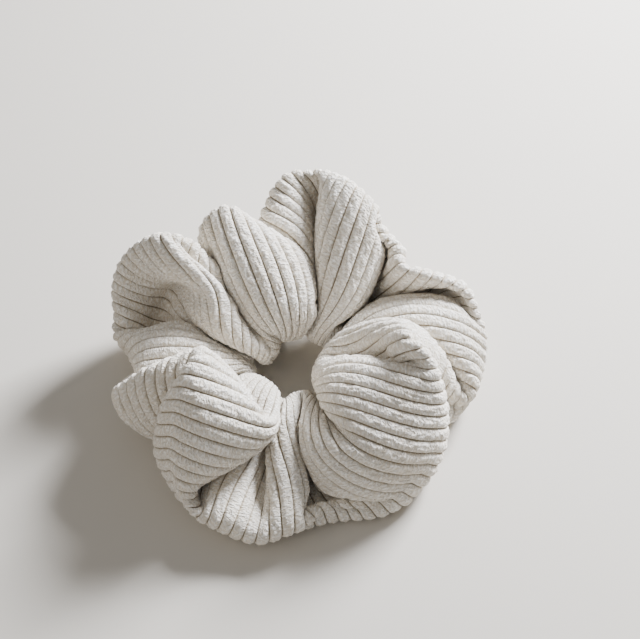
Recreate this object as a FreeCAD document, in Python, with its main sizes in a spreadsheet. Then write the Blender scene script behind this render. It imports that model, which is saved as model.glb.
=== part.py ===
import FreeCAD, Part
import Sketcher
import math
import os

# A gathered corduroy scrunchie, in millimetres: +Z up, the middle of the hole on the table at the origin.
# One strip of cloth is sewn into a tube, its ends are joined, and an elastic band inside gathers it into
# nine ruffles. The tube is modelled as ten stretches, one for each ruffle and two halves for the one at the
# closing seam, so that the ring can open. Each stretch is a hollow shell with the seam allowance inside it,
# and carries its own length of the elastic and of the long seam's thread.

HOLE_RADIUS = 9.5       # the relaxed hole, to the gathered cloth
CLOTH_WALL = 1.6        # one thickness of gathered corduroy, pile included
SPLIT_GAP = 0.3         # the clear space between two neighbouring stretches of the tube
CORNER_SHARE = 0.46     # how round a section is: the corner radius over its smaller side
HEM_ROUND = 4.0         # the smaller radius at the foot of the tube's inner wall
FOOT_PRESS = 0.4        # how much of the round underside the table presses flat
ALLOWANCE_WIDTH = 8.5   # how far the seam allowance stands into the tube from its inner wall
ALLOWANCE_THICK = 2.4   # two layers of cloth
SEAM_HEIGHT = 7.0       # the middle of the long seam above the table
SEAM_LINE = 0.3         # the long seam's stitching, out from halfway between the inner wall and the elastic
THREAD_RADIUS = 0.2
THREAD_CLEARANCE = 0.1  # between the long seam's thread and the seam allowance it lies on
CLOSING_INSET = 1.0     # the closing seam's thread, from the inside of the cloth, which narrows away from it
ELASTIC_RADIUS = 15.5   # the relaxed elastic's inner face
ELASTIC_WIDTH = 6.0     # along Z, standing on the seam allowance
ELASTIC_THICK = 1.2
LAP_LENGTH = 12.0       # the elastic's two ends lie over each other for this length
LAP_CLEARANCE = 0.05
TACK_WIDTH = 1.5        # a bar tack, along the elastic
TACK_THICK = 0.4
TACK_MARGIN = 0.8       # from the elastic's edges to the ends of a bar tack
TACK_TURN = 9.0         # from the middle of the lap to either bar tack, in degrees
NECK_REACH = 39.0       # between two ruffles: the distance from the axis to the tube's outer edge
NECK_CROWN = 25.0       # and the tube's height there

# Each ruffle: its name, the direction of its crest in degrees, its reach from the axis and its height.
# The ruffle at the closing seam starts and ends the ring.
SEAM_RUFFLE = ("seam", 47.0, 43.0, 35.0)
RUFFLES = [
    ("back", 82.0, 50.0, 45.0),
    ("back_left", 118.0, 47.0, 41.0),
    ("left_back", 155.0, 56.0, 40.0),
    ("left", 193.0, 52.0, 32.0),
    ("front_left", 230.0, 50.0, 44.0),
    ("front", 272.0, 49.0, 30.0),
    ("front_right", 315.0, 48.0, 43.0),
    ("right", 368.0, 55.0, 35.0),
]
LAPPED_RUFFLE = "right"  # the elastic's ends are joined inside this one
FULL_TURN = 360.0

doc = FreeCAD.newDocument("scrunchie")
sheet = doc.addObject("Spreadsheet::Sheet", "Sizes")
next_row = 1


def size(alias, value):
    """Puts one driving size in the sheet under its alias."""
    global next_row
    sheet.set(f"A{next_row}", alias)
    sheet.set(f"B{next_row}", str(value))
    sheet.setAlias(f"B{next_row}", alias)
    next_row += 1


def fill_sheet():
    """Writes every driving size: the shared ones, then each ruffle's angle, reach and crown."""
    for alias, value in [
        ("hole_radius", HOLE_RADIUS),
        ("cloth_wall", CLOTH_WALL),
        ("split_gap", SPLIT_GAP),
        ("corner_share", CORNER_SHARE),
        ("hem_round", HEM_ROUND),
        ("foot_press", FOOT_PRESS),
        ("allowance_width", ALLOWANCE_WIDTH),
        ("allowance_thick", ALLOWANCE_THICK),
        ("seam_height", SEAM_HEIGHT),
        ("seam_line", SEAM_LINE),
        ("thread_radius", THREAD_RADIUS),
        ("thread_clearance", THREAD_CLEARANCE),
        ("closing_inset", CLOSING_INSET),
        ("elastic_radius", ELASTIC_RADIUS),
        ("elastic_width", ELASTIC_WIDTH),
        ("elastic_thick", ELASTIC_THICK),
        ("lap_length", LAP_LENGTH),
        ("lap_clearance", LAP_CLEARANCE),
        ("tack_width", TACK_WIDTH),
        ("tack_thick", TACK_THICK),
        ("tack_margin", TACK_MARGIN),
        ("tack_turn", TACK_TURN),
        ("neck_reach", NECK_REACH),
        ("neck_crown", NECK_CROWN),
    ]:
        size(alias, value)
    for name, angle, reach, crown in [SEAM_RUFFLE, *RUFFLES]:
        size(f"{name}_angle", angle)
        size(f"{name}_reach", reach)
        size(f"{name}_crown", crown)
    doc.recompute()


def crest(name, turn=0.0):
    """The expressions of a ruffle's crest section: its angle, reach and crown."""
    return f"(Sizes.{name}_angle + {turn})", f"Sizes.{name}_reach", f"Sizes.{name}_crown"


def neck(before, after):
    """The section halfway between two crests."""
    return f"({before[0]} + {after[0]}) / 2", "Sizes.neck_reach", "Sizes.neck_crown"


def stretches():
    """(name, its sections round the ring) for each stretch of the tube, from the closing seam round to it."""
    name = SEAM_RUFFLE[0]
    crests = [crest(name), *[crest(r[0]) for r in RUFFLES], crest(name, FULL_TURN)]
    necks = [neck(a, b) for a, b in zip(crests, crests[1:])]
    found = [(f"{name}_start", [crests[0], necks[0]])]
    found += [
        (RUFFLES[n][0], [necks[n], crests[n + 1], necks[n + 1]]) for n in range(len(RUFFLES))
    ]
    return found + [(f"{name}_end", [necks[-1], crests[-1]])]


def plane_of(body, role):
    return next(o for o in body.Origin.OriginFeatures if o.Role == role)


def new_body(label):
    body = doc.addObject("PartDesign::Body", label)
    body.Label = label
    return body


def radial_sketch(body, name, angle, aside="0"):
    """A sketch on the half plane at that angle: x is the distance from the axis and y the height.
    aside moves it along the ring, by an expression in millimetres."""
    sketch = body.newObject("Sketcher::SketchObject", name)
    sketch.AttachmentSupport = (plane_of(body, "XZ_Plane"), [""])
    sketch.MapMode = "FlatFace"
    turn = f"{angle} * 1 deg"
    sketch.setExpression(
        "AttachmentOffset",
        f"placement(vector(-sin({turn}) * {aside}; 0; -cos({turn}) * {aside});"
        f" rotation(vector(0; 1; 0); {turn}))",
    )
    return sketch


def bind(sketch, index, name, expression):
    sketch.renameConstraint(index, name)
    sketch.setExpression(f"Constraints.{name}", expression)


def cloth_section(sketch, reach, crown, inset, foot_at, open_above=None):
    """The tube's rounded outline at one station, inset from its outside, with its foot at that height. Its
    inner wall stands upright over a small corner and its other three corners are nearly as round as can be.
    With open_above, the inner wall stops at that height and leaves the outline open below it."""
    left, right = 10.0, 40.0
    low, high = 1.0, 25.0
    small, big = 3.0, 9.0
    corners = [  # middle x, middle y, radius, the angle at which the arc starts
        (left + small, low + small, small, math.pi),
        (right - big, low + big, big, 1.5 * math.pi),
        (right - big, high - big, big, 0.0),
        (left + big, high - big, big, 0.5 * math.pi),
    ]
    up = FreeCAD.Vector(0, 0, 1)
    arcs = []
    for x, y, radius, start in corners:
        circle = Part.Circle(FreeCAD.Vector(x, y, 0), up, radius)
        arcs.append(sketch.addGeometry(Part.ArcOfCircle(circle, start, start + math.pi / 2)))
    ends = [sketch.getPoint(a, 2) for a in arcs]
    starts = [sketch.getPoint(a, 1) for a in arcs]
    lines = []
    for n in range(4):
        lines.append(sketch.addGeometry(Part.LineSegment(ends[n], starts[(n + 1) % 4])))
    foot, outer, top, inner = lines
    for n in range(4):
        sketch.addConstraint(Sketcher.Constraint("Tangent", arcs[n], 2, lines[n], 1))
        if open_above is None or lines[n] != inner:
            sketch.addConstraint(Sketcher.Constraint("Tangent", lines[n], 2, arcs[(n + 1) % 4], 1))
    for n, way in enumerate(["Horizontal", "Vertical", "Horizontal", "Vertical"]):
        sketch.addConstraint(Sketcher.Constraint(way, lines[n]))
    if open_above is not None:
        sketch.addConstraint(Sketcher.Constraint("Horizontal", arcs[0], 1, arcs[0], 3))
        sketch.addConstraint(Sketcher.Constraint("Vertical", arcs[0], 1, inner, 2))
        index = sketch.addConstraint(Sketcher.Constraint("DistanceY", -1, 1, inner, 2, low + small + 1))
        bind(sketch, index, "open_above", open_above)
    hole, table = (-1, 1), (-1, 1)
    sizes = [
        ("inner_wall", ("DistanceX", *hole, inner, 1, left), f"Sizes.hole_radius + {inset}"),
        ("outer_edge", ("DistanceX", *hole, outer, 1, right), f"{reach} - {inset}"),
        ("foot_height", ("DistanceY", *table, foot, 1, low), foot_at),
        ("crown_height", ("DistanceY", *table, top, 1, high), f"{crown} - {inset}"),
        ("hem_corner", ("Radius", arcs[0], small), f"Sizes.hem_round - {inset}"),
    ]
    round_off = (
        f"min({reach} - Sizes.hole_radius; {crown}) * Sizes.corner_share - {inset}"
    )
    sizes += [
        (f"round_{n}", ("Radius", arcs[n], big), round_off) for n in (1, 2, 3)
    ]
    for name, facts, expression in sizes:
        bind(sketch, sketch.addConstraint(Sketcher.Constraint(*facts)), name, expression)


def rectangle(sketch, left, right, low, high):
    """A rectangle whose four sides are bound to those expressions."""
    a, b, c, d = 1.0, 2.0, 1.0, 2.0
    points = [(a, c), (b, c), (b, d), (a, d)]
    points = [FreeCAD.Vector(x, y, 0) for x, y in points]
    lines = [
        sketch.addGeometry(Part.LineSegment(points[n], points[(n + 1) % 4])) for n in range(4)
    ]
    for n in range(4):
        sketch.addConstraint(
            Sketcher.Constraint("Coincident", lines[n], 2, lines[(n + 1) % 4], 1)
        )
        way = "Vertical" if n % 2 else "Horizontal"
        sketch.addConstraint(Sketcher.Constraint(way, lines[n]))
    for name, way, line, point, value, expression in [
        ("left", "DistanceX", lines[3], 1, a, left),
        ("right", "DistanceX", lines[1], 1, b, right),
        ("low", "DistanceY", lines[0], 1, c, low),
        ("high", "DistanceY", lines[2], 1, d, high),
    ]:
        index = sketch.addConstraint(Sketcher.Constraint(way, -1, 1, line, point, value))
        bind(sketch, index, name, expression)


def loft(body, kind, name, sketches):
    feature = body.newObject(f"PartDesign::{kind}", name)
    feature.Profile = sketches[0]
    feature.Sections = sketches[1:]
    return feature


def revolve(body, name, sketch, sweep):
    """Turns a sketch about the ring's axis by that expression, anticlockwise from the sketch's own plane."""
    feature = body.newObject("PartDesign::Revolution", name)
    feature.Profile = sketch
    feature.ReferenceAxis = (sketch, ["V_Axis"])
    feature.Reversed = False
    feature.setExpression("Angle", sweep)
    return feature


def clear_turn(radius):
    """The angle, in degrees, that half of the split gap takes up at that radius."""
    return f"(asin(Sizes.split_gap / 2 / ({radius})) / 1 deg)"


def ring_piece(body, name, first, last, outline):
    """Part of a flat-sided ring between two angles. outline is its inner and outer radius and its two heights."""
    sketch = radial_sketch(body, f"{name}_outline", first)
    rectangle(sketch, *outline)
    return revolve(body, f"{name}_ring", sketch, f"({last} - {first}) * 1 deg")


def between(sections, radius):
    """The angles a stretch's ring pieces start and end at, clear of its neighbours from that radius out."""
    spare = clear_turn(radius)
    return f"({sections[0][0]} + {spare})", f"({sections[-1][0]} - {spare})"


def tube(name, sections):
    """One stretch of the cloth tube: a hollow shell, open at both ends, with its seam allowance."""
    body = new_body(f"cover_{name}")
    last = len(sections) - 1
    for kind, inset, foot_at in [
        ("AdditiveLoft", "0", "-Sizes.foot_press"),
        ("SubtractiveLoft", "Sizes.cloth_wall", "Sizes.cloth_wall"),
    ]:
        sketches = []
        for n, (angle, reach, crown) in enumerate(sections):
            aside = {0: "Sizes.split_gap / 2", last: "-Sizes.split_gap / 2"}.get(n, "0")
            sketch = radial_sketch(body, f"{kind}_{name}_{n}", angle, aside)
            cloth_section(sketch, reach, crown, inset, foot_at)
            sketches.append(sketch)
        doc.recompute()
        loft(body, kind, f"{kind}_{name}", sketches)
        doc.recompute()
    press_foot(body, name)
    inner = "Sizes.hole_radius + Sizes.cloth_wall / 2"
    middle, half = "Sizes.seam_height", "Sizes.allowance_thick / 2"
    ring_piece(
        body, f"allowance_{name}", *between(sections, inner),
        (
            inner, "Sizes.hole_radius + Sizes.cloth_wall + Sizes.allowance_width",
            f"{middle} - {half}", f"{middle} + {half}",
        ),
    )
    return body


def press_foot(body, name):
    """Cuts the underside flat on the table, z = 0."""
    before = body.Shape.Volume
    sketch = body.newObject("Sketcher::SketchObject", f"table_{name}")
    sketch.AttachmentSupport = (plane_of(body, "XY_Plane"), [""])
    sketch.MapMode = "FlatFace"
    middle, up = FreeCAD.Vector(0, 0, 0), FreeCAD.Vector(0, 0, 1)
    edge = sketch.addGeometry(Part.Circle(middle, up, 90.0))
    sketch.addConstraint(Sketcher.Constraint("Coincident", edge, 3, -1, 1))
    index = sketch.addConstraint(Sketcher.Constraint("Radius", edge, 90.0))
    bind(sketch, index, "past_the_cloth", f"2 * Sizes.{LAPPED_RUFFLE}_reach")
    press = body.newObject("PartDesign::Pocket", f"pressed_foot_{name}")
    press.Profile = sketch
    press.setExpression("Length", "2 * Sizes.foot_press")
    doc.recompute()
    if body.Shape.Volume >= before:
        raise ValueError(f"the table does not press cover_{name} flat")


def elastic(name, sections):
    """A stretch's own length of the elastic band, standing on the seam allowance."""
    body = new_body(f"elastic_{name}")
    foot = "Sizes.seam_height + Sizes.allowance_thick / 2"
    ring_piece(
        body, f"band_{name}", *between(sections, "Sizes.elastic_radius"),
        (
            "Sizes.elastic_radius", "Sizes.elastic_radius + Sizes.elastic_thick",
            foot, f"{foot} + Sizes.elastic_width",
        ),
    )
    return body


def seam_thread(name, sections):
    """A stretch's own length of the long seam's thread, on top of the seam allowance."""
    line = "(Sizes.hole_radius + Sizes.cloth_wall + Sizes.elastic_radius) / 2 + Sizes.seam_line"
    first, last = between(sections, line)
    thread = doc.addObject("Part::Torus", f"seam_thread_{name}")
    thread.Label = f"seam_thread_{name}"
    thread.setExpression("Radius1", line)
    thread.setExpression("Radius2", "Sizes.thread_radius")
    thread.setExpression("Angle3", f"({last} - {first}) * 1 deg")
    height = "Sizes.seam_height + Sizes.allowance_thick / 2 + Sizes.thread_radius + Sizes.thread_clearance"
    thread.setExpression(
        "Placement", f"placement(vector(0; 0; {height}); rotation(vector(0; 0; 1); {first} * 1 deg))"
    )
    return thread


def closing_thread(section):
    """The thread that joins the tube's two ends: inside the cloth, from above the seam allowance over the
    crown, down the outer side, along the foot and back up to below the allowance."""
    angle, reach, crown = section
    body = new_body("closing_seam_thread")
    inset = "(Sizes.cloth_wall + Sizes.thread_radius + Sizes.closing_inset)"
    aside = "(Sizes.split_gap / 2 + Sizes.thread_radius)"
    end_height = "(Sizes.seam_height + Sizes.allowance_thick)"
    path = radial_sketch(body, "closing_seam_path", angle, aside)
    cloth_section(path, reach, crown, inset, inset, end_height)
    profile = body.newObject("Sketcher::SketchObject", "closing_seam_profile")
    profile.AttachmentSupport = (plane_of(body, "XY_Plane"), [""])
    profile.MapMode = "FlatFace"
    profile.setExpression(
        "AttachmentOffset",
        f"placement(vector(0; 0; {end_height}); rotation(vector(0; 0; 1); {angle} * 1 deg))",
    )
    circle = Part.Circle(FreeCAD.Vector(12, 1, 0), FreeCAD.Vector(0, 0, 1), 0.2)
    round_thread = profile.addGeometry(circle)
    for name, facts, expression in [
        ("out", ("DistanceX", -1, 1, round_thread, 3, 12.0), f"Sizes.hole_radius + {inset}"),
        ("along", ("DistanceY", -1, 1, round_thread, 3, 1.0), aside),
        ("thick", ("Radius", round_thread, 0.2), "Sizes.thread_radius"),
    ]:
        bind(profile, profile.addConstraint(Sketcher.Constraint(*facts)), name, expression)
    doc.recompute()
    pipe = body.newObject("PartDesign::AdditivePipe", "closing_seam_pipe")
    pipe.Profile = profile
    pipe.Spine = (path, [f"Edge{n + 1}" for n in range(path.GeometryCount)])
    return body


def lap(section):
    """The elastic's second end, lying over the first, and the two bar tacks on it."""
    angle = section[0]
    foot = "Sizes.seam_height + Sizes.allowance_thick / 2"
    inner = "Sizes.elastic_radius + Sizes.elastic_thick + Sizes.lap_clearance"
    outer = f"{inner} + Sizes.elastic_thick"
    half = f"(Sizes.lap_length / 2 / ({inner}) * 180 / pi)"
    body = new_body("elastic_lap")
    ring_piece(
        body, "lap", f"({angle} - {half})", f"({angle} + {half})",
        (inner, outer, foot, f"{foot} + Sizes.elastic_width"),
    )
    made = [body]
    for n, way in enumerate(["-", "+"], start=1):
        body = new_body(f"bar_tack_{n}")
        middle = f"{angle} {way} Sizes.tack_turn"
        wide = f"(Sizes.tack_width / 2 / ({outer}) * 180 / pi)"
        ring_piece(
            body, f"tack_{n}", f"({middle} - {wide})", f"({middle} + {wide})",
            (
                f"{outer} + Sizes.lap_clearance",
                f"{outer} + Sizes.lap_clearance + Sizes.tack_thick",
                f"{foot} + Sizes.tack_margin", f"{foot} + Sizes.elastic_width - Sizes.tack_margin",
            ),
        )
        made.append(body)
    return made


def build():
    """Makes every piece of the scrunchie and returns them."""
    fill_sheet()
    ring = stretches()
    pieces = []
    for name, sections in ring:
        pieces += [tube(name, sections), elastic(name, sections), seam_thread(name, sections)]
    pieces.append(closing_thread(ring[0][1][0]))
    pieces += lap(dict(ring)[LAPPED_RUFFLE][1])
    doc.recompute()
    return pieces


def check(pieces):
    """Stops if anything failed to build."""
    for item in doc.Objects:
        if "Invalid" in item.State or "Error" in item.State:
            raise ValueError(f"{item.Label} is {item.State}")
    for piece in pieces:
        shape = piece.Shape
        if shape.isNull() or not shape.isValid() or len(shape.Solids) != 1:
            raise ValueError(f"{piece.Label} is not one valid solid")


pieces = build()
check(pieces)
os.makedirs("parts", exist_ok=True)
for piece in pieces:
    piece.Shape.exportStep(f"parts/{piece.Label}.step")
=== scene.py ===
import math

import bpy
import numpy as np
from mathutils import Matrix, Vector, kdtree


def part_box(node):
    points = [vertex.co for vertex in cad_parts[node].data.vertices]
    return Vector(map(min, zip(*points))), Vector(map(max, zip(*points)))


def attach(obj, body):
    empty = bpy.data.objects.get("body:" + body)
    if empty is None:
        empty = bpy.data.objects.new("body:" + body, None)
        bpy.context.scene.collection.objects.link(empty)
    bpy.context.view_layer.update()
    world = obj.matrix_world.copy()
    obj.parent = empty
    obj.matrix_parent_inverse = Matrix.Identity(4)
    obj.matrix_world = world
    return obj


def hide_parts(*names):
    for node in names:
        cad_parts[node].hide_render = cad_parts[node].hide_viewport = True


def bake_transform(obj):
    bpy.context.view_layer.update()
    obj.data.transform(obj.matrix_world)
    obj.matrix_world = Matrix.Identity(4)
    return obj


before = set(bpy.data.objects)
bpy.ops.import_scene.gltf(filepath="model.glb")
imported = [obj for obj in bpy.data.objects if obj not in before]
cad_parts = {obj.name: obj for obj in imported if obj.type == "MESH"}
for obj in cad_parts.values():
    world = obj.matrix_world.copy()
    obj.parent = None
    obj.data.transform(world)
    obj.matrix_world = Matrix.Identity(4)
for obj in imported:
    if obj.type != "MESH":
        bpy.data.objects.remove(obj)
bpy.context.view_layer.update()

# ---------------------------------------------------------------------------------------------------------
# The scrunchie's own sizes, in millimetres. +Z is up, the middle of the hole is at the origin.
# ---------------------------------------------------------------------------------------------------------

MM = 0.001

# The cloth.
RIB_PITCH = 3.2         # eight wales to the inch
RIB_COUNT = 156         # round the whole tube, so the strip is 499 mm long
RIB_HEIGHT = 1.0        # a wale's crown above its groove
PILE_DEPTH = 0.10       # how much the cut pile's tufts roughen a wale
TUBE_ROUND = 98.0       # the cloth round the tube, once its long edges are sewn

# The elastic, in the place that the model gives it. This section of it crosses the ring's -X side.
band_low, band_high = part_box("elastic_left")
BAND_THICK = 1.2
BAND_EDGE = 0.3         # how far its edges are rounded
BAND_RADIUS = -band_low.x / MM - BAND_THICK / 2
BAND_WIDTH = (band_high.z - band_low.z) / MM
BAND_HEIGHT = (band_high.z + band_low.z) / 2 / MM

# The inner fold of the tube, gathered on the elastic.
INNER_RADIUS = 12.0
INNER_HEIGHT = BAND_HEIGHT
INNER_SHIFT = (-1.2, 2.0)   # the ruffles' weight drags it off the elastic's middle

# The stitching.
THREAD_RADIUS = 0.2
THREAD_DEPTH = 0.45     # the stitches' middle inside the cloth's ground
SEAM_PLACE = -1         # the long seam runs just under the inner fold
SEAM_STITCH = 1.2       # its stitches close up with the gathers
CLOSING_STITCH = 2.5    # the closing seam's lie flat
STITCH_SHARE = 0.8      # how much of its pitch a stitch covers

# The tube's outer fold once round the ring: direction in degrees, distance from the axis and height.
OUTER_FOLD = [
    (47, 39, 35),    # the seam ruffle
    (53, 36, 35),
    (60, 42, 41),    # back
    (72, 46, 45),
    (82, 50, 45),
    (90, 51, 45),
    (97, 49, 43),
    (103, 44, 34),
    (108, 37, 24),
    (112, 39, 33),   # back left
    (118, 44, 41),
    (127, 46, 35),
    (132, 38, 22),
    (136, 35, 30),   # left back
    (142, 40, 41),
    (148, 50, 41),
    (154, 57, 33),
    (160, 58, 19),
    (166, 50, 7),
    (173, 40, 9),
    (183, 46, 15),   # left
    (190, 50, 22),
    (194, 43, 30),
    (198, 33, 33),
    (203, 28, 36),
    (209, 31, 41),   # front left
    (216, 36, 37),
    (221, 42, 29),
    (226, 46, 20),
    (234, 48, 11),
    (245, 49, 6),
    (257, 49, 4),
    (264, 45, 4),    # front
    (271, 42, 5),
    (278, 39, 6),
    (286, 39, 5),
    (295, 42, 4),    # front right
    (307, 44, 8),
    (319, 45, 13),
    (328, 44, 22),
    (336, 39, 34),
    (342, 33, 41),
    (346, 30, 32),
    (347, 36, 16),
    (351, 44, 7),    # right
    (361, 51, 10),
    (370, 54, 17),
    (379, 48, 28),
    (388, 40, 34),
    (396, 36, 34),
]

# Where the cloth is drawn into a crease: the rib and how far out it starts (0 on the inner fold, 1 on the
# outer), the same for its other end, half its width in millimetres and how far it is drawn in at each step.
TUCKS = [
    (1, 0.95, -2, 0.4, 2.8, 0.30),      # beside the closing seam
    (12, 1.0, 14, 0.45, 2.6, 0.40),     # back
    (42.5, 0.95, 39.5, 0.45, 1.8, 0.35),    # left back, between two rolls
    (45, 0.9, 42, 0.5, 1.8, -0.12),     # the second of them
    (56, 0.7, 46, 0.6, 2.6, 0.35),      # left back, across the wales
    (68, 0.95, 70, 0.3, 4.5, 0.25),     # left, behind the front left ruffle
    (71, 0.5, 80, 0.45, 4.0, 0.20),     # front left, by the hole
    (92, 0.95, 90, 0.25, 2.6, 0.25),    # front left
    (98, 0.8, 97, 0.3, 2.0, 0.20),      # front
    (105, 0.9, 106, 0.2, 2.8, 0.30),    # front right
    (123, 0.9, 125.5, 0.35, 2.2, 0.28),     # front right, by the hole
    (147, 0.95, 152, 0.4, 4.0, 0.35),   # right
]

# The ten bodies in order from the closing seam, and the direction of each one's crest in degrees.
GATHERS = [
    ("gather_01", "seam_start", 47), ("gather_02", "back", 82), ("gather_03", "back_left", 118),
    ("gather_04", "left_back", 155), ("gather_05", "left", 193), ("gather_06", "front_left", 230),
    ("gather_07", "front", 272), ("gather_08", "front_right", 315), ("gather_09", "right", 368),
    ("gather_10", "seam_end", 407),
]

# ---------------------------------------------------------------------------------------------------------
# Gathering the cloth: the tube starts flat between the two folds, is blown up a little, as the cloth's own
# stiffness does, and settles on the table, on itself and round the elastic. Its threads pull it towards its
# cut size, which the folds held out stretch by a few percent.
# ---------------------------------------------------------------------------------------------------------

ROWS = RIB_COUNT * 2    # points round the ring, two to a rib
ROUND = 36              # points round the tube, the first on the inner fold and the middle one on the outer
CLOTH_LIFT = 1.05       # the cloth's ground above the table, a little more than a rib's height
CLOTH_THICK = 2.3       # how near two layers of it can come, ribs included
FLAT_THICK = 2.0        # half the flat tube's thickness at the start
FOLD_SLACK = 0.5        # how much nearer the outer fold is held than the cloth would reach
GATHERED_SHARE = 0.3    # the ribs' pitch at the inner fold, as a share of their own
GATHERED_UNTIL = 0.6    # how far out the ribs reach their full pitch
BAND_ROOM = 1.3         # the cloth's middle clear of the elastic's edges
BAND_REACH = 1.8        # and the distance from the elastic's circle at which they hold it

SETTLING_STEPS = 500
FIRM_STEPS = 300        # the outer fold is held firmly for this many, and then more loosely
BLOWN = 0.05            # what each step adds, in millimetres: outwards, and down
FALL = 0.01
KEPT_SPEED = 0.85       # how much of its speed a point keeps, and the most it may move
TOP_SPEED = 1.5
OUTWARDS_EVERY = 4      # steps between two looks at which way is out of the tube
NEAR_EVERY = 20         # and at which layers of cloth lie near each other
NEAR_REACH = 1.5        # they are looked for within this many thicknesses of each other
NEAR_CLOTH = 1.6        # and are two layers if it is further than this many through the cloth
NEAR_SHARE = 0.12       # and one of them is at least this far out from the inner fold

# The share of each error that one step puts right.
STRAIGHT_THREADS = 1.0
SKEW_THREADS = 0.15
LONG_THREADS = 0.1
LONGEST_THREADS = 0.04
LAYERS_APART = 0.35
BAND_APART = 0.2
FIRM_HOLD, LOOSE_HOLD = 0.3, 0.2    # on the outer fold
INNER_HOLD = 0.5


def smooth_ring(values, reach):
    """Averages each row with its neighbours round the ring."""
    weights = np.hanning(2 * reach + 3)[1:-1]
    weights /= weights.sum()
    return sum(w * np.roll(values, k - reach, axis=0) for k, w in enumerate(weights))


def smoothstep(x):
    """0 up to 0 and 1 from 1 on, with a smooth rise between them."""
    x = np.clip(x, 0, 1)
    return x * x * (3 - 2 * x)


def unit(vectors):
    """The vectors' directions, each of length 1."""
    return vectors / (np.linalg.norm(vectors, axis=-1, keepdims=True) + 1e-9)


def closed_curve(points, count):
    """A smooth closed curve through the points, as that many points a constant length apart."""
    p = np.array(points, float)
    share = np.linspace(0, 1, 24, endpoint=False)[:, None]
    runs = []
    for a, b, c, d in zip(np.roll(p, 1, 0), p, np.roll(p, -1, 0), np.roll(p, -2, 0)):
        runs.append(
            b + 0.5 * share * (c - a + share * (2 * a - 5 * b + 4 * c - d + share * (3 * b - 3 * c + d - a)))
        )
    fine = np.concatenate(runs)
    loop = np.vstack([fine, fine[:1]])
    along = np.r_[0, np.cumsum(np.linalg.norm(np.diff(loop, axis=0), axis=1))]
    wanted = np.linspace(0, along[-1], count, endpoint=False)
    return np.stack([np.interp(wanted, along, loop[:, k]) for k in range(3)], axis=1)


def around(degrees, radius, height):
    """Points at those directions, distances from the axis and heights."""
    turn = np.radians(degrees)
    return np.stack([radius * np.cos(turn), radius * np.sin(turn), height + 0 * turn], axis=-1)


def folds():
    """The outer and inner folds of the tube, a point for each row, and each row's direction in degrees."""
    angle, radius, height = np.array(OUTER_FOLD, float).T
    outer = closed_curve(around(angle, radius, height), ROWS)
    turn = np.degrees(np.unwrap(np.arctan2(outer[:, 1], outer[:, 0])))
    even = turn[0] + 360 * np.arange(ROWS) / ROWS
    # The gathers sit evenly on the elastic, drawn halfway towards the ruffles they feed.
    turn = even + smooth_ring((turn - even)[:, None] / 2, 8)[:, 0]
    inner = around(turn, INNER_RADIUS, INNER_HEIGHT) + (*INNER_SHIFT, 0)
    reach = outer - inner
    length = np.linalg.norm(reach, axis=1, keepdims=True)
    outer = inner + reach * np.minimum(1, (TUBE_ROUND / 2 - FOLD_SLACK) / length)
    return outer, inner, turn


def normals(cloth):
    """Each point's direction out of the tube."""
    along = np.roll(cloth, -1, 0) - np.roll(cloth, 1, 0)
    across = np.roll(cloth, -1, 1) - np.roll(cloth, 1, 1)
    return unit(np.cross(across, along))


def threads_of(step_row, step_round, rest, stretch, crush):
    """Threads from each point to the one that many rows and points on, in two groups that share no point."""
    index = np.arange(ROWS * ROUND).reshape(ROWS, ROUND)
    far = np.roll(index, (-step_row, -step_round), (0, 1))
    row, place = np.divmod(index, ROUND)
    turn, span = (row, step_row) if step_row else (place, step_round)
    groups = []
    for parity in (0, 1):
        chosen = turn // span % 2 == parity
        groups.append((index[chosen], far[chosen], rest[place[chosen]], stretch, crush))
    return groups


def pull(points, start, end, rest, stretch, crush):
    """Moves both ends of each thread towards its rest length."""
    gap = points[end] - points[start]
    length = np.sqrt((gap * gap).sum(1)) + 1e-9
    off = (length - rest) / length
    move = gap * (off * np.where(off > 0, stretch, crush) / 2)[:, None]
    points[start] += move
    points[end] -= move


def near_pairs(points, rest_row, rest_round, share, distance):
    """Pairs of points that lie near each other though they are far apart in the cloth, gathers left out."""
    tree = kdtree.KDTree(len(points))
    for n, point in enumerate(points):
        tree.insert(point, n)
    tree.balance()
    pairs = np.array([
        (n, other) for n, point in enumerate(points)
        for _, other, _ in tree.find_range(point, distance * NEAR_REACH) if other > n
    ])
    row, place = np.divmod(pairs, ROUND)
    rows_apart = np.abs(row[:, 0] - row[:, 1])
    rows_apart = np.minimum(rows_apart, ROWS - rows_apart)
    places_apart = np.abs(place[:, 0] - place[:, 1])
    places_apart = np.minimum(places_apart, ROUND - places_apart)
    cloth_apart = np.hypot(rows_apart * rest_row[place[:, 0]], places_apart * rest_round)
    keep = (cloth_apart > distance * NEAR_CLOTH) & (share[place].max(axis=1) > NEAR_SHARE)
    return pairs[keep].T


def tucked(share):
    """How hard each place is drawn into the tube by the tucks in its upper side."""
    rib = np.arange(ROWS)[:, None] / 2
    out = share[None, :] * TUBE_ROUND / 2
    pulled = np.zeros((ROWS, ROUND))
    for first_rib, first_share, last_rib, last_share, width, force in TUCKS:
        a = np.array([first_rib * RIB_PITCH, first_share * TUBE_ROUND / 2])
        way = np.array([last_rib * RIB_PITCH, last_share * TUBE_ROUND / 2]) - a
        x = ((rib - first_rib + RIB_COUNT / 2) % RIB_COUNT - RIB_COUNT / 2) * RIB_PITCH
        y = out - a[1]
        on_way = np.clip((x * way[0] + y * way[1]) / (way @ way), 0, 1)
        away = np.hypot(x - on_way * way[0], y - on_way * way[1])
        pulled += force * np.exp(-(away / width) ** 2)
    pulled[:, ROUND // 2 + 1:] = 0
    return pulled.reshape(-1, 1)


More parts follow.
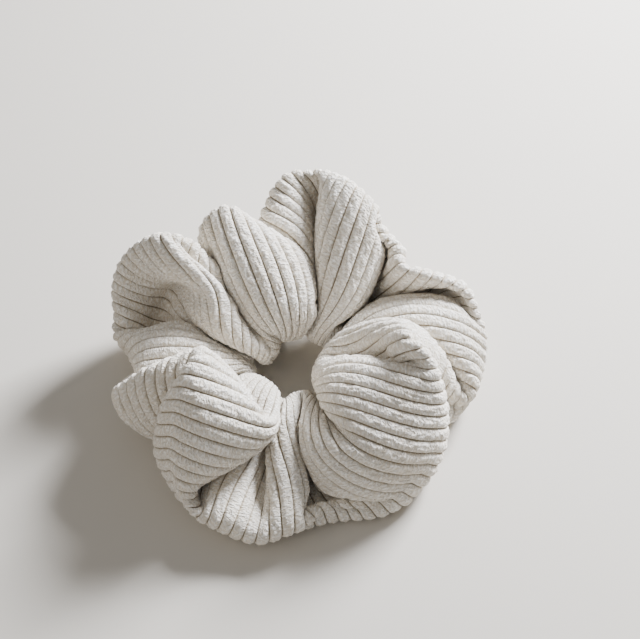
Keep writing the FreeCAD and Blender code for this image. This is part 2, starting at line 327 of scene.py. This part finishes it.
def flat_tube(outer, inner, share):
    """The tube before it settles, nearly flat between its two folds."""
    place = np.arange(ROUND) / ROUND
    reach = outer - inner
    along = smooth_ring(np.roll(outer, -1, 0) - np.roll(outer, 1, 0), 5)
    up = unit(smooth_ring(unit(np.cross(reach, along)), 3))
    return (
        inner[:, None] + reach[:, None] * share[:, None]
        + up[:, None] * (FLAT_THICK * np.sin(2 * np.pi * place))[:, None]
    )


def cloth_threads(rest_row, rest_round):
    """All the cloth's threads. The long ones resist only crushing, which keeps small creases out of it."""
    skew = [np.hypot((rest_row + np.roll(rest_row, -k)) / 2, rest_round) for k in (1, -1)]
    flat = np.full(ROUND, rest_round)
    return (
        threads_of(1, 0, rest_row, STRAIGHT_THREADS, STRAIGHT_THREADS)
        + threads_of(0, 1, flat, STRAIGHT_THREADS, STRAIGHT_THREADS)
        + threads_of(1, 1, skew[0], SKEW_THREADS, SKEW_THREADS)
        + threads_of(1, -1, skew[1], SKEW_THREADS, SKEW_THREADS)
        + threads_of(2, 0, rest_row * 2, 0.0, LONG_THREADS)
        + threads_of(0, 2, flat * 2, 0.0, LONG_THREADS)
        + threads_of(4, 0, rest_row * 3.9, 0.0, LONGEST_THREADS)
    )


def keep_apart(points, pairs):
    """Pushes the layers of cloth that have come too near off each other."""
    a, b = pairs
    gap = points[b] - points[a]
    length = np.sqrt((gap * gap).sum(1)) + 1e-9
    close = length < CLOTH_THICK
    a, b, gap, length = a[close], b[close], gap[close], length[close]
    push = gap * ((CLOTH_THICK - length) / length * LAYERS_APART)[:, None]
    np.add.at(points, a, -push)
    np.add.at(points, b, push)


def keep_off_elastic(points, over, under):
    """Holds the tube's two sides apart by the elastic's width."""
    for side, way in ((over, 1), (under, -1)):
        radius = np.hypot(points[side, 0], points[side, 1])
        depth = (INNER_HEIGHT + way * (BAND_WIDTH / 2 + BAND_ROOM) - points[side, 2]) * way
        caught = (np.abs(radius - BAND_RADIUS) < BAND_REACH) & (depth > 0)
        points[side[caught], 2] += way * depth[caught] * BAND_APART


def gathered_cloth():
    """The settled cloth: a point for each row and place round the tube, and each row's direction."""
    outer, inner, turn = folds()
    share = 1 - np.abs(1 - 2 * np.arange(ROUND) / ROUND)  # 0 on the inner fold, 1 on the outer
    # The ribs stand at their full pitch outside and close up where they are gathered on the elastic.
    rest_row = RIB_PITCH / 2 * (GATHERED_SHARE + (1 - GATHERED_SHARE) * smoothstep(share / GATHERED_UNTIL))
    rest_round = TUBE_ROUND / ROUND
    threads = cloth_threads(rest_row, rest_round)
    points = flat_tube(outer, inner, share).reshape(-1, 3).copy()
    index = np.arange(ROWS * ROUND).reshape(ROWS, ROUND)
    inner_fold, outer_fold = index[:, 0], index[:, ROUND // 2]
    over, under = index[:, 1:ROUND // 2].ravel(), index[:, ROUND // 2 + 1:].ravel()
    blown = BLOWN - tucked(share)
    speed = np.zeros_like(points)
    for step in range(SETTLING_STEPS):
        before = points.copy()
        points += speed * KEPT_SPEED
        if step % OUTWARDS_EVERY == 0:
            out = normals(points.reshape(ROWS, ROUND, 3)).reshape(-1, 3)
        points += out * blown
        points[:, 2] -= FALL
        if step % NEAR_EVERY == 0:
            touching = near_pairs(points, rest_row, rest_round, share, CLOTH_THICK)
        for thread in threads:
            pull(points, *thread)
        keep_apart(points, touching)
        keep_off_elastic(points, over, under)
        points[:, 2] = np.maximum(points[:, 2], CLOTH_LIFT)
        hold = FIRM_HOLD if step < FIRM_STEPS else LOOSE_HOLD
        points[outer_fold] += (outer - points[outer_fold]) * hold
        points[inner_fold] += (inner - points[inner_fold]) * INNER_HOLD
        speed = points - before
        speed *= min(1, TOP_SPEED / (np.abs(speed).max() + 1e-9))
    return points.reshape(ROWS, ROUND, 3), turn


# ---------------------------------------------------------------------------------------------------------
# Materials
# ---------------------------------------------------------------------------------------------------------


def colour(hex_value):
    """An sRGB hex value as linear RGBA."""
    parts = [int(hex_value[n:n + 2], 16) / 255 for n in (1, 3, 5)]
    return tuple(c / 12.92 if c <= 0.04045 else ((c + 0.055) / 1.055) ** 2.4 for c in parts) + (1.0,)


def add_node(tree, kind, links=(), inputs=(), **settings):
    """Adds a node with its settings, the values of its inputs, and its links as (input, socket it reads)."""
    node = tree.nodes.new(kind)
    for name, value in settings.items():
        setattr(node, name, value)
    for name, value in dict(inputs).items():
        node.inputs[name].default_value = value
    for name, socket in dict(links).items():
        tree.links.new(socket, node.inputs[name])
    return node


def new_material(name):
    """An empty material and its node tree."""
    material = bpy.data.materials.new(name)
    material.use_nodes = True
    tree = material.node_tree
    tree.nodes.clear()
    return material, tree


def surface(tree, inputs, links):
    """The material's shader and output."""
    shader = add_node(tree, "ShaderNodeBsdfPrincipled", links, inputs)
    add_node(tree, "ShaderNodeOutputMaterial", {"Surface": shader.outputs["BSDF"]})


def cream_corduroy():
    """Cream cotton corduroy, cut pile on a woven ground: matt, with a soft bloom where the pile is seen from
    its side. The tips of the pile's tufts are painted near white as a painted highlight over the cloth's own
    cream, and the grooves between the wales are painted darker as painted shade. It reads the cloth's own UV
    map,
    which is in millimetres: across the wales, then along them."""
    material, tree = new_material("cream_corduroy")
    cloth = add_node(tree, "ShaderNodeUVMap", uv_map="cloth")
    split = add_node(tree, "ShaderNodeSeparateXYZ", {"Vector": cloth.outputs["UV"]})
    wale = add_node(
        tree, "ShaderNodeMath", {0: split.outputs["X"]}, {1: RIB_PITCH}, operation="DIVIDE")
    across = add_node(tree, "ShaderNodeMath", {0: wale.outputs[0]}, operation="FRACT")
    centred = add_node(
        tree, "ShaderNodeMath", {0: across.outputs[0]}, {1: 0.5}, operation="SUBTRACT")
    from_crown = add_node(
        tree, "ShaderNodeMath", {0: centred.outputs[0]}, operation="ABSOLUTE")
    # Tufts of cut pile, 0.6 mm along a wale and 0.9 mm across it.
    tuft_place = add_node(
        tree, "ShaderNodeMapping", {"Vector": cloth.outputs["UV"]},
        {"Scale": (1 / 0.9, 1 / 0.6, 1.0)})
    tufts = add_node(
        tree, "ShaderNodeTexNoise", {"Vector": tuft_place.outputs["Vector"]},
        {"Scale": 1.0, "Detail": 2.0, "Roughness": 0.5, "Distortion": 0.3})
    tips = add_node(
        tree, "ShaderNodeMapRange", {"Value": tufts.outputs["Fac"]},
        {"From Min": 0.36, "From Max": 0.64}, interpolation_type="SMOOTHSTEP")
    # Single fibres, 0.15 mm apart.
    fibres = add_node(
        tree, "ShaderNodeTexNoise", {"Vector": cloth.outputs["UV"]},
        {"Scale": 1 / 0.15, "Detail": 2.0, "Roughness": 0.7})
    # The pile lies this way and that in patches about 12 mm across.
    nap_place = add_node(
        tree, "ShaderNodeMapping", {"Vector": cloth.outputs["UV"]},
        {"Scale": (1 / 12, 1 / 12, 1.0)})
    nap = add_node(
        tree, "ShaderNodeTexNoise", {"Vector": nap_place.outputs["Vector"]},
        {"Scale": 1.0, "Detail": 2.0})
    # Painted shade: a mask that rises towards the groove between two wales, where the colour is painted
    # darker.
    depth = add_node(
        tree, "ShaderNodeMapRange", {"Value": from_crown.outputs[0]},
        {"From Min": 0.40, "From Max": 0.5, "To Min": 0.0, "To Max": 1.0}, interpolation_type="SMOOTHSTEP")
    # Painted highlight: the tips of the pile's tufts are painted near white over the cloth's own cream; the
    # same tips also make the bump below.
    crown = add_node(
        tree, "ShaderNodeMix", {"Factor": tips.outputs["Result"]}, data_type="RGBA")
    crown.inputs["A"].default_value = colour("#e8e0d2")
    crown.inputs["B"].default_value = colour("#fffdf8")
    tinted = add_node(
        tree, "ShaderNodeMix", {"Factor": nap.outputs["Fac"], "A": crown.outputs["Result"]},
        data_type="RGBA", blend_type="MULTIPLY")
    tinted.inputs["B"].default_value = colour("#f6f0e6")
    # Painted shade: the grooves are painted a darker tan over the cream, by the mask above.
    cloth_colour_and_painted_light = add_node(
        tree, "ShaderNodeMix", {"Factor": depth.outputs["Result"], "A": tinted.outputs["Result"]},
        data_type="RGBA")
    cloth_colour_and_painted_light.inputs["B"].default_value = colour("#9c8c72")
    coarse = add_node(
        tree, "ShaderNodeBump", {"Height": tips.outputs["Result"]},
        {"Strength": 1.0, "Distance": 0.30 * MM})
    fine = add_node(
        tree, "ShaderNodeBump", {"Height": fibres.outputs["Fac"], "Normal": coarse.outputs["Normal"]},
        {"Strength": 0.8, "Distance": 0.08 * MM})
    surface(
        tree,
        {"Roughness": 0.95, "IOR": 1.5, "Specular IOR Level": 0.15, "Sheen Weight": 0.35,
         "Sheen Roughness": 0.45, "Sheen Tint": colour("#fff6e6")},
        {"Base Color": cloth_colour_and_painted_light.outputs["Result"], "Normal": fine.outputs["Normal"]},
    )
    return material


def braided_elastic():
    """White braided elastic: polyester over rubber, in ridges along its length, with a dull satin face."""
    material, tree = new_material("white_braided_elastic")
    place = add_node(tree, "ShaderNodeTexCoord")
    split = add_node(tree, "ShaderNodeSeparateXYZ", {"Vector": place.outputs["Object"]})
    # A braid ridge every 0.6 mm of its width.
    ridge = add_node(
        tree, "ShaderNodeMath", {0: split.outputs["Z"]}, {1: 2 * math.pi / (0.6 * MM)},
        operation="MULTIPLY")
    wave = add_node(tree, "ShaderNodeMath", {0: ridge.outputs[0]}, operation="SINE")
    yarn = add_node(
        tree, "ShaderNodeTexNoise", {"Vector": place.outputs["Object"]},
        {"Scale": 1 / (0.5 * MM), "Detail": 2.0})
    shade = add_node(tree, "ShaderNodeMix", {"Factor": yarn.outputs["Fac"]}, data_type="RGBA")
    shade.inputs["A"].default_value = colour("#d9d6ce")
    shade.inputs["B"].default_value = colour("#f4f2ec")
    bump = add_node(
        tree, "ShaderNodeBump", {"Height": wave.outputs[0]}, {"Strength": 0.7, "Distance": 0.12 * MM})
    surface(
        tree, {"Roughness": 0.6, "IOR": 1.5, "Sheen Weight": 0.2},
        {"Base Color": shade.outputs["Result"], "Normal": bump.outputs["Normal"]},
    )
    return material


def sewing_thread():
    """Cream spun polyester sewing thread, slightly glossy, its tone changing softly along it."""
    material, tree = new_material("cream_sewing_thread")
    place = add_node(tree, "ShaderNodeTexCoord")
    # A slow, soft change of tone.
    tone = add_node(
        tree, "ShaderNodeTexWave", {"Vector": place.outputs["Object"]},
        {"Scale": 0.1 / MM, "Distortion": 1.0}, bands_direction="DIAGONAL")
    shade = add_node(tree, "ShaderNodeMix", {"Factor": tone.outputs["Fac"]}, data_type="RGBA")
    shade.inputs["A"].default_value = colour("#cfc3ab")
    shade.inputs["B"].default_value = colour("#efe7d6")
    bump = add_node(
        tree, "ShaderNodeBump", {"Height": tone.outputs["Fac"]}, {"Strength": 0.5, "Distance": 0.05 * MM})
    surface(
        tree, {"Roughness": 0.5, "IOR": 1.5, "Sheen Weight": 0.15},
        {"Base Color": shade.outputs["Result"], "Normal": bump.outputs["Normal"]},
    )
    return material


CORDUROY = cream_corduroy()
ELASTIC = braided_elastic()
THREAD = sewing_thread()

# ---------------------------------------------------------------------------------------------------------
# Mesh making
# ---------------------------------------------------------------------------------------------------------


def add_piece(name, points, quads, material, uv=None):
    """A smooth mesh piece from points in millimetres and quads of their numbers."""
    mesh = bpy.data.meshes.new(name)
    quads = np.asarray(quads, np.int32)
    mesh.vertices.add(len(points))
    mesh.vertices.foreach_set("co", (np.asarray(points) * MM).astype(np.float32).ravel())
    mesh.loops.add(quads.size)
    mesh.loops.foreach_set("vertex_index", quads.ravel())
    mesh.polygons.add(len(quads))
    mesh.polygons.foreach_set("loop_start", np.arange(0, quads.size, 4, dtype=np.int32))
    mesh.polygons.foreach_set("use_smooth", np.ones(len(quads), bool))
    mesh.update(calc_edges=True)
    if uv is not None:
        layer = mesh.uv_layers.new(name="cloth")
        layer.uv.foreach_set("vector", np.asarray(uv, np.float32).ravel())
    mesh.materials.append(material)
    piece = bpy.data.objects.new(name, mesh)
    bpy.context.scene.collection.objects.link(piece)
    return piece


def spread(grid, axis, parts):
    """Puts that many points between neighbours round one direction of the tube, on smooth curves."""
    grid = np.moveaxis(grid, axis, 0)
    fine = np.empty((len(grid) * parts, *grid.shape[1:]))
    a, b, c, d = np.roll(grid, 1, 0), grid, np.roll(grid, -1, 0), np.roll(grid, -2, 0)
    for n in range(parts):
        x = n / parts
        fine[n::parts] = (
            (1 - x) ** 3 * a + (3 * x ** 3 - 6 * x * x + 4) * b
            + (-3 * x ** 3 + 3 * x * x + 3 * x + 1) * c + x ** 3 * d
        ) / 6
    return np.moveaxis(fine, 0, axis)


RIB_PARTS = 12          # points across one rib
ROUND_PARTS = 5         # points between two of the settled cloth's places
RIB_FLATNESS = 2.5      # how square a wale's crown is: 2 is half round
FULL_HEIGHT = 0.9       # a wale of this share of its pitch, or more, stands at its full height
UNEVEN = 0.04           # how much the wales' heights differ


def ribbed_cloth(cloth):
    """The cloth's outer face with its wales, a row for each of their parts."""
    fine = spread(spread(cloth, 0, RIB_PARTS // 2), 1, ROUND_PARTS)
    rows, places = fine.shape[:2]
    out = normals(fine)
    width = np.linalg.norm(np.roll(fine, -1, 0) - np.roll(fine, 1, 0), axis=2) * RIB_PARTS / 2
    width = smooth_ring(width, RIB_PARTS)
    rib = np.arange(rows) // RIB_PARTS
    across = (np.arange(rows) % RIB_PARTS) / RIB_PARTS
    crown = np.sqrt(np.clip(1 - np.abs(2 * across - 1) ** RIB_FLATNESS, 0, 1))[:, None]
    # Where the wales close up they stand lower too.
    height = RIB_HEIGHT * crown * np.minimum(1, width / RIB_PITCH / FULL_HEIGHT)
    rng = np.random.default_rng(7)
    tufts = rng.normal(size=(rows, places))
    tufts = smooth_ring(smooth_ring(tufts, 1).T, 1).T
    tufts /= tufts.std()
    fat = rng.normal(1, UNEVEN, RIB_COUNT)[rib][:, None]
    outside = fine + out * (height * fat + PILE_DEPTH * tufts * crown)[:, :, None]
    outside[:, :, 2] = np.maximum(outside[:, :, 2], 0)
    return outside


# ---------------------------------------------------------------------------------------------------------
# The cover: nine pieces of the one tube, each cut along the grooves at two neighbouring crests
# ---------------------------------------------------------------------------------------------------------


def slide_direction(first, second):
    """The direction in which one gather leaves the one before it."""
    a, b = around(np.array([first, second]), 1.0, 0.0)
    return unit(b - a)


def stretch_name(material, n):
    """The name of the piece from one crest to the next."""
    return f"{material}_{GATHERS[n][1]}_to_{GATHERS[n + 1][1]}"


def stretch_between(piece):
    """Bakes the piece's placement into its mesh, so that it lies where it was built."""
    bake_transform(piece)


def stand_for(kind, n):
    """A stretch stands for its first gather's CAD section, and the last stretch for the last one's too."""
    ends = GATHERS[n:n + 1] if n + 2 < len(GATHERS) else GATHERS[n:]
    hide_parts(*(f"{kind}_{ruffle}" for _, ruffle, _ in ends))


def cut_ribs(outside, turn):
    """The groove near each crest to cut at, so that the narrower stretch beside it is as wide as can be."""
    nearest = [int(np.argmin(np.abs(turn[::2] - angle))) for _, _, angle in GATHERS[:-1]]
    cuts = nearest + [nearest[0] + RIB_COUNT]

    def width(n):
        way = slide_direction(GATHERS[n][2], GATHERS[n + 1][2])
        near, far = (outside[rib % RIB_COUNT * RIB_PARTS] @ way for rib in cuts[n:n + 2])
        return far.min() - near.max()

    def narrowest(n, rib):
        cuts[n] = rib
        cuts[-1] = cuts[0] + RIB_COUNT
        return min(width(n - 1 if n else len(nearest) - 1), width(n))

    for _ in range(4):
        for n, middle in enumerate(nearest):
            narrowest(n, max(range(middle - 6, middle + 7), key=lambda rib: narrowest(n, rib)))
    return cuts


def make_cover(outside, cuts):
    """The cover's nine stretches, each with its wales in its UV map in millimetres."""
    places = outside.shape[1]
    for n, (low, high) in enumerate(zip(cuts, cuts[1:])):
        rows = np.arange(low * RIB_PARTS, high * RIB_PARTS + 1)
        points = outside[rows % len(outside)]
        index = np.arange(points.shape[0] * places).reshape(-1, places)
        nxt = np.roll(index, -1, 1)
        quads = np.stack([index[:-1], nxt[:-1], nxt[1:], index[1:]], 2).reshape(-1, 4)
        along = rows * RIB_PITCH / RIB_PARTS
        step = TUBE_ROUND / places
        here = np.arange(places) * step
        corners = [(along[:-1], here), (along[:-1], here + step), (along[1:], here + step), (along[1:], here)]
        uv = np.stack([
            np.stack(np.broadcast_arrays(u[:, None], v[None, :]), 2) for u, v in corners
        ], 2).reshape(-1, 2)
        piece = add_piece(stretch_name("corduroy", n), points.reshape(-1, 3), quads, CORDUROY, uv)
        stretch_between(piece)
        stand_for("cover", n)


# ---------------------------------------------------------------------------------------------------------
# The elastic and the stitching inside the cover
# ---------------------------------------------------------------------------------------------------------


def make_elastic():
    """The band between each two crests: a flat section with rounded edges, carried round its circle."""
    half = np.array([BAND_THICK / 2, BAND_WIDTH / 2])
    corner = np.radians(np.arange(0, 360, 15))
    corner = np.stack([np.cos(corner), np.sin(corner)], axis=1)
    section = np.sign(corner) * (half - BAND_EDGE) + corner * BAND_EDGE
    for n, ((_, _, first), (_, _, last)) in enumerate(zip(GATHERS, GATHERS[1:])):
        angle = np.linspace(first, last, 2 * (last - first) + 1)[:, None]
        points = around(angle, BAND_RADIUS + section[:, 0], BAND_HEIGHT + section[:, 1])
        index = np.arange(points.shape[0] * points.shape[1]).reshape(points.shape[:2])
        nxt = np.roll(index, -1, 1)
        quads = np.stack([index[:-1], index[1:], nxt[1:], nxt[:-1]], 2).reshape(-1, 4)
        piece = add_piece(stretch_name("elastic", n), points.reshape(-1, 3), quads, ELASTIC)
        stretch_between(piece)
        stand_for("elastic", n)


def row_of_stitches():
    """A geometry node tree that lays stitches along an edge path: the path and pitch in, thread out."""
    tree = bpy.data.node_groups.new("row_of_stitches", "GeometryNodeTree")
    sides = [("Path", "INPUT", "NodeSocketGeometry"), ("Pitch", "INPUT", "NodeSocketFloat"),
             ("Thread", "OUTPUT", "NodeSocketGeometry")]
    for name, side, kind in sides:
        tree.interface.new_socket(name=name, in_out=side, socket_type=kind)
    given = add_node(tree, "NodeGroupInput")
    path = add_node(tree, "GeometryNodeMeshToCurve", {"Mesh": given.outputs["Path"]})
    holes = add_node(
        tree, "GeometryNodeResampleCurve", {"Curve": path.outputs["Curve"], "Length": given.outputs["Pitch"]},
        mode="LENGTH")
    tangent = add_node(tree, "GeometryNodeInputTangent")
    turn = add_node(
        tree, "FunctionNodeAlignRotationToVector", {"Vector": tangent.outputs["Tangent"]}, axis="Z")
    length = add_node(
        tree, "ShaderNodeMath", {0: given.outputs["Pitch"]}, {1: STITCH_SHARE}, operation="MULTIPLY")
    stitch = add_node(
        tree, "GeometryNodeMeshCylinder", {"Depth": length.outputs[0]},
        {"Vertices": 8, "Side Segments": 2, "Radius": THREAD_RADIUS * MM})
    placed = add_node(
        tree, "GeometryNodeInstanceOnPoints",
        {"Points": holes.outputs["Curve"], "Instance": stitch.outputs["Mesh"],
         "Rotation": turn.outputs["Rotation"]})
    real = add_node(tree, "GeometryNodeRealizeInstances", {"Geometry": placed.outputs["Instances"]})
    made = add_node(
        tree, "GeometryNodeSetMaterial", {"Geometry": real.outputs["Geometry"]}, {"Material": THREAD})
    add_node(tree, "NodeGroupOutput", {"Thread": made.outputs["Geometry"]})
    return tree


def add_stitches(name, path, pitch):
    """A row of stitches along a path in millimetres."""
    mesh = bpy.data.meshes.new(name + "_path")
    mesh.from_pydata([tuple(p) for p in path * MM], [(n, n + 1) for n in range(len(path) - 1)], [])
    guide = bpy.data.objects.new(name + "_path", mesh)
    bpy.context.scene.collection.objects.link(guide)
    modifier = guide.modifiers.new("stitches", "NODES")
    modifier.node_group = STITCHES
    sockets = {item.name: item.identifier for item in STITCHES.interface.items_tree}
    modifier[sockets["Pitch"]] = pitch * MM
    made = guide.evaluated_get(bpy.context.evaluated_depsgraph_get())
    piece = bpy.data.objects.new(name, bpy.data.meshes.new_from_object(made))
    piece.data.name = name
    bpy.context.scene.collection.objects.link(piece)
    bpy.data.objects.remove(guide)
    return piece


def make_stitching(cloth, cuts):
    """The long seam just under the inner fold, and the seam that closes the strip into a ring."""
    inside = cloth - normals(cloth) * THREAD_DEPTH
    for n, (low, high) in enumerate(zip(cuts, cuts[1:])):
        path = inside[np.arange(low * 2, high * 2 + 1) % ROWS, SEAM_PLACE]
        piece = add_stitches(stretch_name("seam_stitches", n), path, SEAM_STITCH)
        stretch_between(piece)
        stand_for("seam_thread", n)
    closing = add_stitches("closing_stitches", inside[cuts[0] * 2, 2:-2], CLOSING_STITCH)
    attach(closing, GATHERS[0][0])
    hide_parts("closing_seam_thread")


def dress(node, material):
    """Gives a CAD piece its material."""
    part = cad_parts[node]
    if not part.material_slots:
        part.data.materials.append(material)
    for held in part.material_slots:
        held.link = "OBJECT"
        held.material = material


STITCHES = row_of_stitches()
CLOTH, TURN = gathered_cloth()
OUTSIDE = ribbed_cloth(CLOTH)
CUTS = cut_ribs(OUTSIDE, TURN)
make_cover(OUTSIDE, CUTS)
make_elastic()
make_stitching(CLOTH, CUTS)
dress("elastic_lap", ELASTIC)
dress("bar_tack_1", THREAD)
dress("bar_tack_2", THREAD)

# ---------------------------------------------------------------------------------------------------------
# Floor, light and camera
# ---------------------------------------------------------------------------------------------------------

FLOOR_REACH = 3         # metres each way
CAMERA_AIM = (5.7, 16.1, 15.0)
CAMERA_TILT = 53        # degrees down from level
CAMERA_ANGLE = 30       # degrees across the picture
CAMERA_DISTANCE = 341


def make_floor():
    """A large pale floor for the scrunchie to lie on."""
    r = FLOOR_REACH
    mesh = bpy.data.meshes.new("floor")
    mesh.from_pydata([(-r, -r, 0), (r, -r, 0), (r, r, 0), (-r, r, 0)], [], [(0, 1, 2, 3)])
    material, tree = new_material("pale_floor")
    surface(tree, {"Base Color": colour("#cbc5ba"), "Roughness": 0.8}, {})
    mesh.materials.append(material)
    floor = bpy.data.objects.new("floor", mesh)
    bpy.context.scene.collection.objects.link(floor)


def add_light(name, place, target, energy, size, tint):
    """An area light at a place, turned towards a target, both in metres."""
    data = bpy.data.lights.new(name, "AREA")
    data.energy, data.size, data.color = energy, size, colour(tint)[:3]
    lamp = bpy.data.objects.new(name, data)
    lamp.location = Vector(place)
    lamp.rotation_euler = (Vector(target) - lamp.location).to_track_quat("-Z", "Y").to_euler()
    bpy.context.scene.collection.objects.link(lamp)


def make_camera():
    """The camera, looking down at the scrunchie from the front."""
    aim = Vector(CAMERA_AIM) * MM
    tilt = math.radians(CAMERA_TILT)
    data = bpy.data.cameras.new("camera")
    data.angle = math.radians(CAMERA_ANGLE)
    data.clip_start = 0.01
    camera = bpy.data.objects.new("camera", data)
    camera.location = aim + Vector((0, -math.cos(tilt), math.sin(tilt))) * CAMERA_DISTANCE * MM
    camera.rotation_euler = (aim - camera.location).to_track_quat("-Z", "Y").to_euler()
    bpy.context.scene.collection.objects.link(camera)
    bpy.context.scene.camera = camera


make_floor()
add_light("window", (0.34, 0.36, 0.34), (0, 0, 0.02), 19.0, 0.20, "#f4f7ff")
add_light("room", (-0.45, -0.30, 0.50), (0, 0, 0.02), 1.2, 0.60, "#fff6ea")
make_camera()

world = bpy.data.worlds.new("studio")
world.use_nodes = True
world.node_tree.nodes["Background"].inputs["Color"].default_value = colour("#f2f4f8")
world.node_tree.nodes["Background"].inputs["Strength"].default_value = 0.30
bpy.context.scene.world = world
